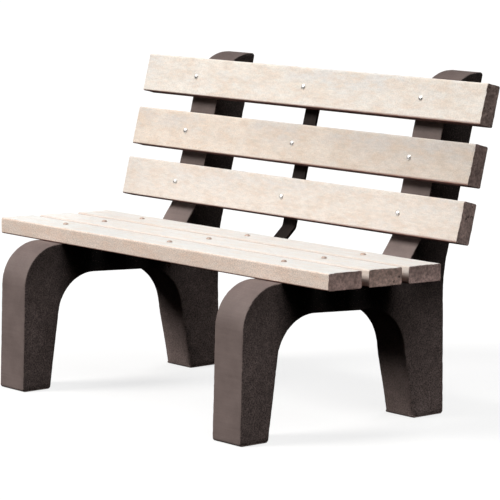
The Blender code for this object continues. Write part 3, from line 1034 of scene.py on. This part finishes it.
def slat_core(paint, layer, pits, voids, part, row):
    """A slat's sawn end: mottled and pitted, with a darker rim."""
    pale, dark = SLAT_ENDS[part, row]
    across, through = (paint.math("ABSOLUTE", paint.local(axis)) for axis in (2, 1))
    core = paint.shade(
        paint.mix(paint.span(layer["core_mottle"], 0.34, 0.66), dark, pale),
        paint.span(layer["core_patch"], 0.3, 0.7, 0.78, 1.18),
        paint.span(pits, 0.08, 0.20, 0.62, 1.0),
        paint.span(voids, 0.61, 0.70, 1.0, 0.25),
        paint.span(across, SLAT_WIDTH / 2 - RIM, SLAT_WIDTH / 2, 1.0, RIM_SHADES[0]),
        paint.span(through, SLAT_THICKNESS / 2 - RIM, SLAT_THICKNESS / 2, 1.0, RIM_SHADES[1]),
    )
    # Painted light: a seat slat's sawn end is lighter towards the bottom.
    if part == "seat":
        half = SLAT_THICKNESS / 2
        core = paint.shade(core, paint.span(paint.local(1), -half, half, 0.86, 1.16))
    return core


def slat_plastic(name, seed, part, row):
    """Cream recycled lumber: a mottled skin with painted shade along its lower edges, darker pitted sawn
    ends.
    """
    paint = Paint(name)
    layer = paint.layers(SLAT_LAYERS, seed)
    pits = paint.cells(PIT_CELLS, seed + 8)
    voids = paint.noise(VOIDS, seed + 9, 4.0, 0.6)
    skin = slat_skin(paint, layer, part, row)
    if part == "seat":
        skin = seat_skin(paint, layer, skin, row)
    skin = with_painted_shade(paint, layer, skin, part)
    core = slat_core(paint, layer, pits, voids, part, row)
    on_end = paint.span(paint.math("ABSOLUTE", paint.local_normal(0)), 0.45, 0.85)
    paint.shader.inputs["Specular IOR Level"].default_value = SLAT_SPECULAR
    paint.bump((layer["fleck"], 0.10 * MM), (layer["grit"], 0.05 * MM), (pits, 0.05 * MM))
    return paint.finish(paint.mix(on_end, skin, core), paint.span(layer["patch"], 0.3, 0.7, 0.56, 0.70))


def frame_body(paint, layer, height, back):
    """The brown of a frame with its fine streaks, with painted light on the rear leg and painted shade on
    the post.
    """
    rear = paint.times(
        paint.span(height, *POST_SHADING_SPAN, 1.0, 0.0), paint.span(back, *REAR_SHADING_SPAN, 0.0, REAR_GAIN)
    )
    return paint.shade(
        paint.mix(paint.span(layer["patch"], 0.3, 0.7), FRAME_DARK, FRAME_BODY),
        paint.span(layer["streak"], 0.25, 0.75, 0.945, 1.055),
        paint.span(height, *POST_SHADING_SPAN, 1.0, POST_SHADE),
        paint.math("ADD", rear, 1.0),
    )


def frame_side(paint, layer, blotch, height, back, side):
    """How bright a frame's wide face is: a coarse grain, with painted shade under the seat and behind the
    back slats, and painted light low on the rear legs.
    """
    low_shade, high_shade = (shade * SIDE_TONES[side] for shade in SIDE_SHADES)
    rear_leg = paint.times(
        paint.span(back, *REAR_SHADING_SPAN), paint.span(height, *REAR_LEG_SHADING_SPAN, *REAR_LEG_GAINS[side])
    )
    beam = paint.times(
        paint.span(back, *BEAM_STARTS),
        paint.span(back, *BEAM_ENDS, 1.0, 0.0),
        paint.span(height, *BEAM_HEIGHT, 0.0, BEAM_LOSS),
    )
    return paint.times(
        paint.span(layer["grain"], 0.28, 0.72, 0.34, 1.70),
        paint.span(layer["mottle"], 0.3, 0.7, 0.80, 1.18),
        paint.span(blotch, 0.3, 0.7, 0.84, 1.10),
        paint.span(height, *SIDE_SHADING_SPAN, low_shade, high_shade),
        paint.math("ADD", rear_leg, 1.0),
        paint.span(height, *POST_SHADING_SPAN, 1.0, POST_SIDE_SHADE),
        paint.math("ADD", beam, 1.0),
    )


def frame_plastic(name, seed, side):
    """Brown moulded plastic: fine streaks across the narrow faces, flecks and blotches on the wide ones."""
    paint = Paint(name)
    layer = paint.layers(FRAME_LAYERS, seed)
    flecks = paint.cells(FLECK_CELLS, seed + 4)
    blotch = paint.noise(BLOTCHES, seed + 5, 4.0, 0.6)
    height, back = paint.local(2), paint.local(1)
    across = paint.math("ABSOLUTE", paint.local_normal(0))
    wide = paint.span(across, 0.55, 0.95)
    in_arch = paint.times(paint.span(back, *ARCH_STARTS), paint.span(height, *ARCH_TOP, 1.0, 0.0))
    fine = paint.span(layer["grain"], 0.25, 0.75, 0.965, 1.035)
    coarse = paint.span(layer["grain"], 0.28, 0.72, 0.66, 1.40)
    narrow_tone = paint.blend(in_arch, fine, coarse)
    wide_tone = frame_side(paint, layer, blotch, height, back, side)
    colour = paint.shade(frame_body(paint, layer, height, back), paint.blend(wide, narrow_tone, wide_tone))
    spots = paint.times(paint.span(flecks, 0.10, 0.20, 1.0, 0.0), wide, FLECK_SHARE)
    colour = paint.mix(spots, colour, FRAME_FLECK)
    wear_and_edge_shade = paint.times(
        paint.span(across, 0.25, 0.6),
        paint.span(across, 0.8, 0.99, 1.0, 0.0),
        paint.span(layer["mottle"], 0.42, 0.6),
        WORN_SHARE,
    )
    colour = paint.mix(wear_and_edge_shade, colour, FRAME_FLECK)
    paint.shader.inputs["Specular IOR Level"].default_value = FRAME_SPECULAR
    paint.bump((layer["grain"], 0.10 * MM), (layer["streak"], 0.06 * MM), (layer["mottle"], 0.12 * MM))
    return paint.finish(colour, paint.span(layer["mottle"], 0.3, 0.7, 0.58, 0.74))


def brace_steel():
    """Dark paint on flat bar, with the mill's fine lines along it and a few rusty nicks."""
    paint = Paint("brace_steel")
    layer = paint.layers(BRACE_LAYERS, BRACE_LAYER_SEED)
    colour = paint.shade(
        paint.mix(paint.span(layer["patch"], 0.3, 0.7), BRACE_DARK, BRACE_PALE),
        paint.span(layer["lines"], 0.3, 0.7, 0.60, 1.50),
        paint.span(layer["grain"], 0.3, 0.7, 0.92, 1.08),
    )
    on_edge = paint.span(paint.math("ABSOLUTE", paint.local_normal(0)), 0.2, 0.7)
    rust = paint.times(paint.span(layer["nicks"], 0.60, 0.68), on_edge, RUST_SHARE)
    paint.shader.inputs["Specular IOR Level"].default_value = BRACE_SPECULAR
    paint.bump((layer["lines"], 0.03 * MM), (layer["grain"], 0.03 * MM))
    colour = paint.mix(rust, colour, BRACE_RUST)
    return paint.finish(colour, paint.span(layer["patch"], 0.3, 0.7, 0.50, 0.64))


def bolt_steel(name, seed, bare, clean, dull, smoothest, roughest):
    """Bright steel under a film that outdoor weather leaves; on the seat bolts a brown, duller steel is a
    painted dark reflection.
    """
    paint = Paint(name)
    layer = paint.layers(BOLT_LAYERS, seed)
    colour = paint.mix(paint.span(layer["film"], 0.35, 0.7), clean, dull)
    colour = paint.shade(colour, paint.span(layer["fine"], 0.3, 0.7, 0.95, 1.04))
    paint.shader.inputs["Metallic"].default_value = bare
    paint.bump((layer["fine"], 0.006 * MM))
    return paint.finish(colour, paint.span(layer["film"], 0.3, 0.7, smoothest, roughest))


# ---------------------------------------------------------------- the bench


def place(node, mesh, material, slot, matrix=None):
    """Puts a finished mesh in place of a CAD node."""
    mesh.materials.clear()
    mesh.materials.append(material)
    piece = linked(node + "_look", mesh)
    if matrix:
        piece.matrix_world = matrix
    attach(piece, "root")
    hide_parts(node)
    return piece


def build_slats():
    block = slat_block()
    for seed, (part, row) in enumerate(SLATS, start=1):
        name = f"{part}_slat_{row}"
        material = slat_plastic(f"slat_plastic_{part}_{row}", seed * 11, part, row)
        mesh = smooth(pushed(block, slat_surface(seed * 10)))
        place(name, mesh, material, "slat_plastic", slat_place(part, row))


def build_frames():
    for seed, side in enumerate(("left", "right"), start=1):
        mesh = smooth(pushed(frame_block(side), frame_surface(seed * 20)))
        material = frame_plastic(f"frame_plastic_{side}", seed * 13, side)
        matrix = Matrix.Translation((BOLT_COLUMNS[side], 0.0, 0.0))
        place(f"end_frame_{side}", mesh, material, "frame_plastic", matrix)


def build_fasteners():
    steels = {
        part: bolt_steel(f"bolt_steel_{part}", BOLT_SEEDS[part], *BOLT_LOOKS[part])
        for part in ("back", "seat")
    }
    frame_bolt, brace_bolt = bolt_block(FRAME_BOLT_LENGTH), bolt_block(BRACE_BOLT_LENGTH)
    nut = nut_block()
    turn = 0.0
    for part, row in SLATS:
        for column in BOLT_COLUMNS:
            on_brace = column == "centre"
            where = bolt_place(part, row, column)
            bolt = (brace_bolt if on_brace else frame_bolt).copy()
            place(f"{part}_bolt_{row}_{column}", bolt, steels[part], "bolt_steel", where)
            grip = BRACE_THICKNESS if on_brace else FRAME_GRIP
            depth = SLAT_THICKNESS + GAP + grip + GAP
            turn += NUT_TURN
            sunk = Matrix.Translation((0.0, 0.0, -depth)) @ Matrix.Rotation(turn, 4, "Z")
            place(f"{part}_nut_{row}_{column}", nut.copy(), steels[part], "bolt_steel", where @ sunk)


def build_brace():
    mesh = smooth(pushed(brace_block(), brace_surface))
    place("centre_brace", mesh, brace_steel(), "brace_steel")


# ---------------------------------------------------------------- studio


def bearing(azimuth, elevation):
    """The unit vector towards this azimuth, from the front towards +X, and elevation."""
    a, e = math.radians(azimuth), math.radians(elevation)
    return Vector((math.sin(a) * math.cos(e), -math.cos(a) * math.cos(e), math.sin(e)))


def build_camera():
    data = bpy.data.cameras.new("camera")
    data.sensor_width = SENSOR
    data.lens = LENS
    data.clip_end = CLIP_END
    camera = linked("camera", data)
    back = bearing(VIEW_AZIMUTH, VIEW_ELEVATION)
    right = Vector((0.0, 0.0, 1.0)).cross(back).normalized()
    turn = Matrix((right, back.cross(right), back)).transposed() @ Matrix.Rotation(
        math.radians(VIEW_ROLL), 3, "Z"
    )
    camera.matrix_world = Matrix.Translation(VIEW_TARGET + back * VIEW_DISTANCE) @ turn.to_4x4()
    bpy.context.scene.camera = camera


def build_lights():
    for name, (azimuth, elevation, spread, strength, colour) in LAMPS.items():
        data = bpy.data.lights.new(name, "SUN")
        data.energy = strength * math.pi
        data.color = colour
        data.angle = math.radians(spread)
        lamp = linked(name, data)
        lamp.rotation_euler = bearing(azimuth, elevation).to_track_quat("Z", "Y").to_euler()
        lamp.visible_glossy = name != "back"


def build_world():
    """A dim studio all round, darker below, with a pale backdrop."""
    world = bpy.data.worlds.new("studio")
    world.use_nodes = True
    bpy.context.scene.world = world
    tree = world.node_tree
    tree.nodes.clear()

    def node(kind, **settings):
        made = tree.nodes.new("ShaderNode" + kind)
        for key, value in settings.items():
            setattr(made, key, value)
        return made

    split = node("SeparateXYZ")
    tree.links.new(node("TexCoord").outputs["Generated"], split.inputs[0])
    above = node("Math", operation="GREATER_THAN")
    above.inputs[1].default_value = 0.0
    tree.links.new(split.outputs[2], above.inputs[0])
    dome = node("Mix", data_type="RGBA")
    dome.inputs[6].default_value = (*GROUND_COLOUR, 1.0)
    dome.inputs[7].default_value = (*SKY_COLOUR, 1.0)
    tree.links.new(above.outputs[0], dome.inputs[0])
    seen = node("Mix", data_type="RGBA")
    seen.inputs[7].default_value = (*BACKDROP_COLOUR, 1.0)
    tree.links.new(node("LightPath").outputs["Is Camera Ray"], seen.inputs[0])
    tree.links.new(dome.outputs[2], seen.inputs[6])
    background = node("Background")
    tree.links.new(seen.outputs[2], background.inputs["Color"])
    tree.links.new(background.outputs[0], node("OutputWorld").inputs["Surface"])


def build_floor():
    half = FLOOR_HALF_SIZE
    mesh = bpy.data.meshes.new("floor")
    corners = [(-half, -half, 0.0), (half, -half, 0.0), (half, half, 0.0), (-half, half, 0.0)]
    mesh.from_pydata(corners, [], [(0, 1, 2, 3)])
    paint = Paint("floor")
    paint.shader.inputs["Base Color"].default_value = (*FLOOR_COLOUR, 1.0)
    paint.shader.inputs["Roughness"].default_value = 0.9
    paint.shader.inputs["Specular IOR Level"].default_value = 0.0
    paint.shader.inputs["Emission Color"].default_value = (1.0, 1.0, 1.0, 1.0)
    paint.shader.inputs["Emission Strength"].default_value = FLOOR_GLOW
    mesh.materials.append(paint.material)
    floor = linked("floor", mesh)
    floor.visible_diffuse = False
    floor.visible_glossy = False


bpy.context.scene.view_settings.view_transform = "Standard"
build_camera()
build_lights()
build_world()
build_floor()
build_slats()
build_frames()
build_brace()
build_fasteners()
